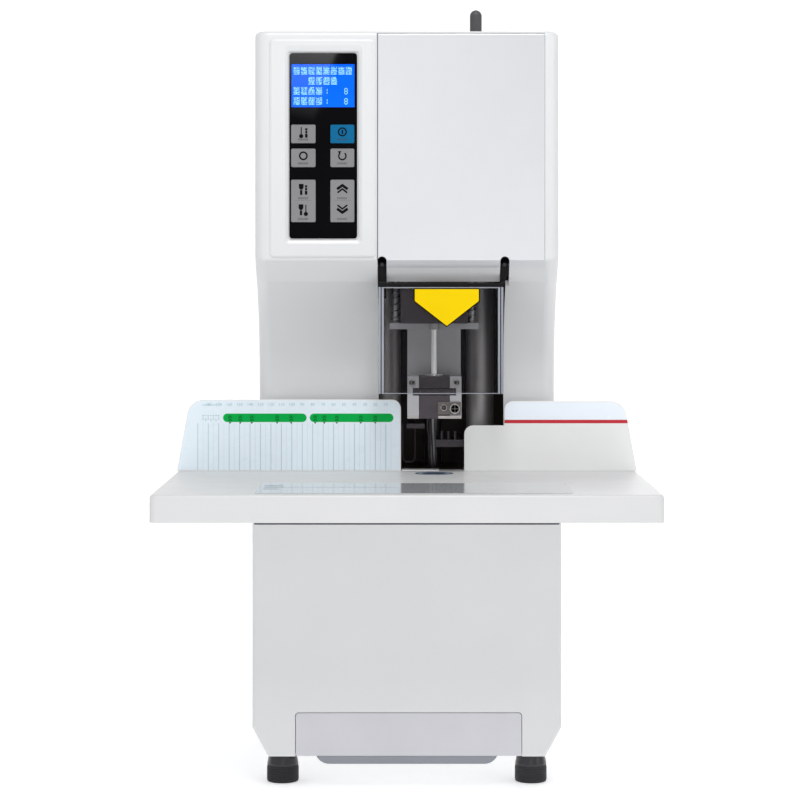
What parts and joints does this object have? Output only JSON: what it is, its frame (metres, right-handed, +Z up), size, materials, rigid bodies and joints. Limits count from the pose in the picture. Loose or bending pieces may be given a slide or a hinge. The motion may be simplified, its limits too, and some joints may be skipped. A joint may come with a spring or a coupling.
{
  "type": "document riveting machine",
  "caption": "Desk-standing machine that clamps a paper stack, drills it and heat-rivets a plastic tube, with a flat table, ruled back stops, keypad head and swing-up shield.",
  "frame": {"origin": "on the desk, under the middle of the machine's outline", "axes": "+X to the operator's right, +Y away from the operator, +Z up"},
  "size_m": [0.442, 0.432, 0.736],
  "materials": {
    "white_shell": "moulded white, fine satin",
    "grey_shell": "moulded pale grey",
    "table_white": "moulded white, satin",
    "stop_film": "printed film with ruled lines",
    "stop_white": "white with a red guide line",
    "gloss_board": "glossy inset board",
    "bright_metal": "bright",
    "silver_panel": "silver satin",
    "bezel_black": "black gloss film",
    "screen_blue": "lit blue display",
    "key_grey": "embossed grey film",
    "key_blue": "embossed blue film",
    "circuit_board": "green board",
    "sheet_steel": "plated sheet",
    "chromed_steel": "polished chrome",
    "cast_metal": "cast",
    "dark_lining": "black lining",
    "dark_metal": "blackened",
    "machined_aluminium": "machined",
    "brushed_aluminium": "brushed",
    "bronze": "bronze",
    "polished_steel": "polished",
    "motor_steel": "satin",
    "belt_rubber": "black rubber",
    "spring_steel": "wire",
    "pad_nylon": "dark nylon",
    "smoked_acrylic": "smoked clear",
    "yellow_film": "plain yellow film",
    "black_metal": "black satin",
    "dark_plastic": "dark grey",
    "black_plastic": "black",
    "foot_rubber": "black rubber"
  },
  "bodies": {
    "machine": {"base_housing": "white_shell", "base_floor": "sheet_steel", "feet": "foot_rubber", "table_top": "table_white", "table_plate": "gloss_board", "throat_plate": "bright_metal", "left_back_stop": "stop_film", "right_back_stop": "stop_white", "front_cover": "white_shell", "front_fascia": "silver_panel", "rear_cover": "white_shell", "keypad_bezel": "bezel_black", "display_module": "screen_blue", "keypad_board": "circuit_board", "frame_bottom_plate": "sheet_steel", "frame_top_plate": "sheet_steel", "guide_columns": "chromed_steel", "pad_seat": "cast_metal", "throat_liner": "dark_lining", "throat_fittings": "dark_metal", "lift_motor": "motor_steel", "shield_hinges": "sheet_steel", "tube_sleeve": "dark_plastic", "feed_unit": "sheet_steel", "power_inlet": "black_plastic", "power_supply": "sheet_steel", "control_board": "circuit_board", "case_screws": "polished_steel"},
    "carriage": {"carriage_block": "machined_aluminium", "carriage_bearings": "bronze", "lift_nut": "bronze", "spindle_housing": "dark_metal", "drill_motor": "motor_steel", "drive_belt": "belt_rubber", "clamp_springs": "spring_steel"},
    "spindle": {"spindle_shaft": "polished_steel", "drill_bit": "chromed_steel"},
    "motor_rotor": {"motor_pulley": "machined_aluminium"},
    "screw": {"lift_screw": "polished_steel"},
    "clamp": {"clamp_block": "dark_metal", "drill_bush": "chromed_steel", "heater_plate": "dark_metal", "clamp_hanger": "brushed_aluminium", "clamp_fittings": "polished_steel"},
    "pad": {"cutting_pad": "pad_nylon", "pad_spindle": "polished_steel"},
    "shield": {"shield_cover": "smoked_acrylic", "shield_patch": "yellow_film", "shield_bracket": "black_metal"},
    "drawer": {"chip_drawer": "grey_shell"},
    "punch_key": {"key_punch": "key_grey"},
    "start_key": {"key_start": "key_blue"},
    "stop_key": {"key_stop": "key_grey"},
    "reset_key": {"key_reset": "key_grey"},
    "mode_key": {"key_mode": "key_grey"},
    "jog_key": {"key_jog": "key_grey"},
    "rocker": {"power_rocker": "black_plastic"},
    "drive_roller": {"feed_roller": "foot_rubber"},
    "idle_roller": {"pinch_roller": "foot_rubber"},
    "cap": {"tube_cap": "dark_plastic"}
  },
  "joints": [
    {"name": "shield_swing", "type": "hinge", "parent": "machine", "child": "shield", "pos_m": [0.0345, -0.008, 0.487], "axis": [-1, 0, 0], "range_deg": [0, 85]},
    {"name": "carriage_lift", "type": "slide", "parent": "machine", "child": "carriage", "axis": [0, 0, -1], "range_m": [0, 0.0515]},
    {"name": "screw_turn", "type": "hinge", "parent": "machine", "child": "screw", "pos_m": [0.026, 0.105, 0.4], "axis": [0, 0, 1], "continuous": true},
    {"name": "spindle_spin", "type": "hinge", "parent": "carriage", "child": "spindle", "pos_m": [0.026, 0.009, 0.5], "axis": [0, 0, 1], "continuous": true},
    {"name": "motor_spin", "type": "hinge", "parent": "carriage", "child": "motor_rotor", "pos_m": [0.026, 0.064, 0.5], "axis": [0, 0, 1], "continuous": true},
    {"name": "clamp_press", "type": "slide", "parent": "carriage", "child": "clamp", "axis": [0, 0, 1], "range_m": [0, 0.042], "stiffness_N_per_m": 1200, "springref_m": -0.012, "deforming": ["clamp_springs"]},
    {"name": "pad_turn", "type": "hinge", "parent": "machine", "child": "pad", "pos_m": [0.026, 0, 0.28], "axis": [0, 0, 1], "continuous": true},
    {"name": "drawer_slide", "type": "slide", "parent": "machine", "child": "drawer", "axis": [0, -1, 0], "range_m": [0, 0.14]},
    {"name": "punch_key_press", "type": "slide", "parent": "machine", "child": "punch_key", "axis": [0, 1, 0], "range_m": [0, 0.0005], "stiffness_N_per_m": 1500},
    {"name": "start_key_press", "type": "slide", "parent": "machine", "child": "start_key", "axis": [0, 1, 0], "range_m": [0, 0.0005], "stiffness_N_per_m": 1500},
    {"name": "stop_key_press", "type": "slide", "parent": "machine", "child": "stop_key", "axis": [0, 1, 0], "range_m": [0, 0.0005], "stiffness_N_per_m": 1500},
    {"name": "reset_key_press", "type": "slide", "parent": "machine", "child": "reset_key", "axis": [0, 1, 0], "range_m": [0, 0.0005], "stiffness_N_per_m": 1500},
    {"name": "mode_key_tilt", "type": "hinge", "parent": "machine", "child": "mode_key", "pos_m": [-0.0973, -0.0199, 0.5467], "axis": [1, 0, 0], "range_deg": [-1.2, 1.2], "stiffness_Nm_per_rad": 0.3},
    {"name": "jog_key_tilt", "type": "hinge", "parent": "machine", "child": "jog_key", "pos_m": [-0.0606, -0.0199, 0.5467], "axis": [1, 0, 0], "range_deg": [-1.2, 1.2], "stiffness_Nm_per_rad": 0.3},
    {"name": "rocker_tilt", "type": "hinge", "parent": "machine", "child": "rocker", "pos_m": [0.058, 0.212, 0.318], "axis": [1, 0, 0], "range_deg": [-7, 7]},
    {"name": "feed_spin", "type": "hinge", "parent": "machine", "child": "drive_roller", "pos_m": [0.0781, 0.065, 0.648], "axis": [0, 1, 0], "continuous": true},
    {"name": "pinch_spin", "type": "hinge", "parent": "machine", "child": "idle_roller", "pos_m": [0.0569, 0.065, 0.648], "axis": [0, 1, 0], "continuous": true},
    {"name": "cap_pull", "type": "slide", "parent": "machine", "child": "cap", "axis": [0, 0, 1], "range_m": [0, 0.012]}
  ],
  "couplings": [
    {"joint": "screw_turn", "follows": "carriage_lift", "rad_per_m": 1256.6},
    {"joint": "motor_spin", "follows": "spindle_spin", "ratio": 1},
    {"joint": "pinch_spin", "follows": "feed_spin", "ratio": -1}
  ]
}
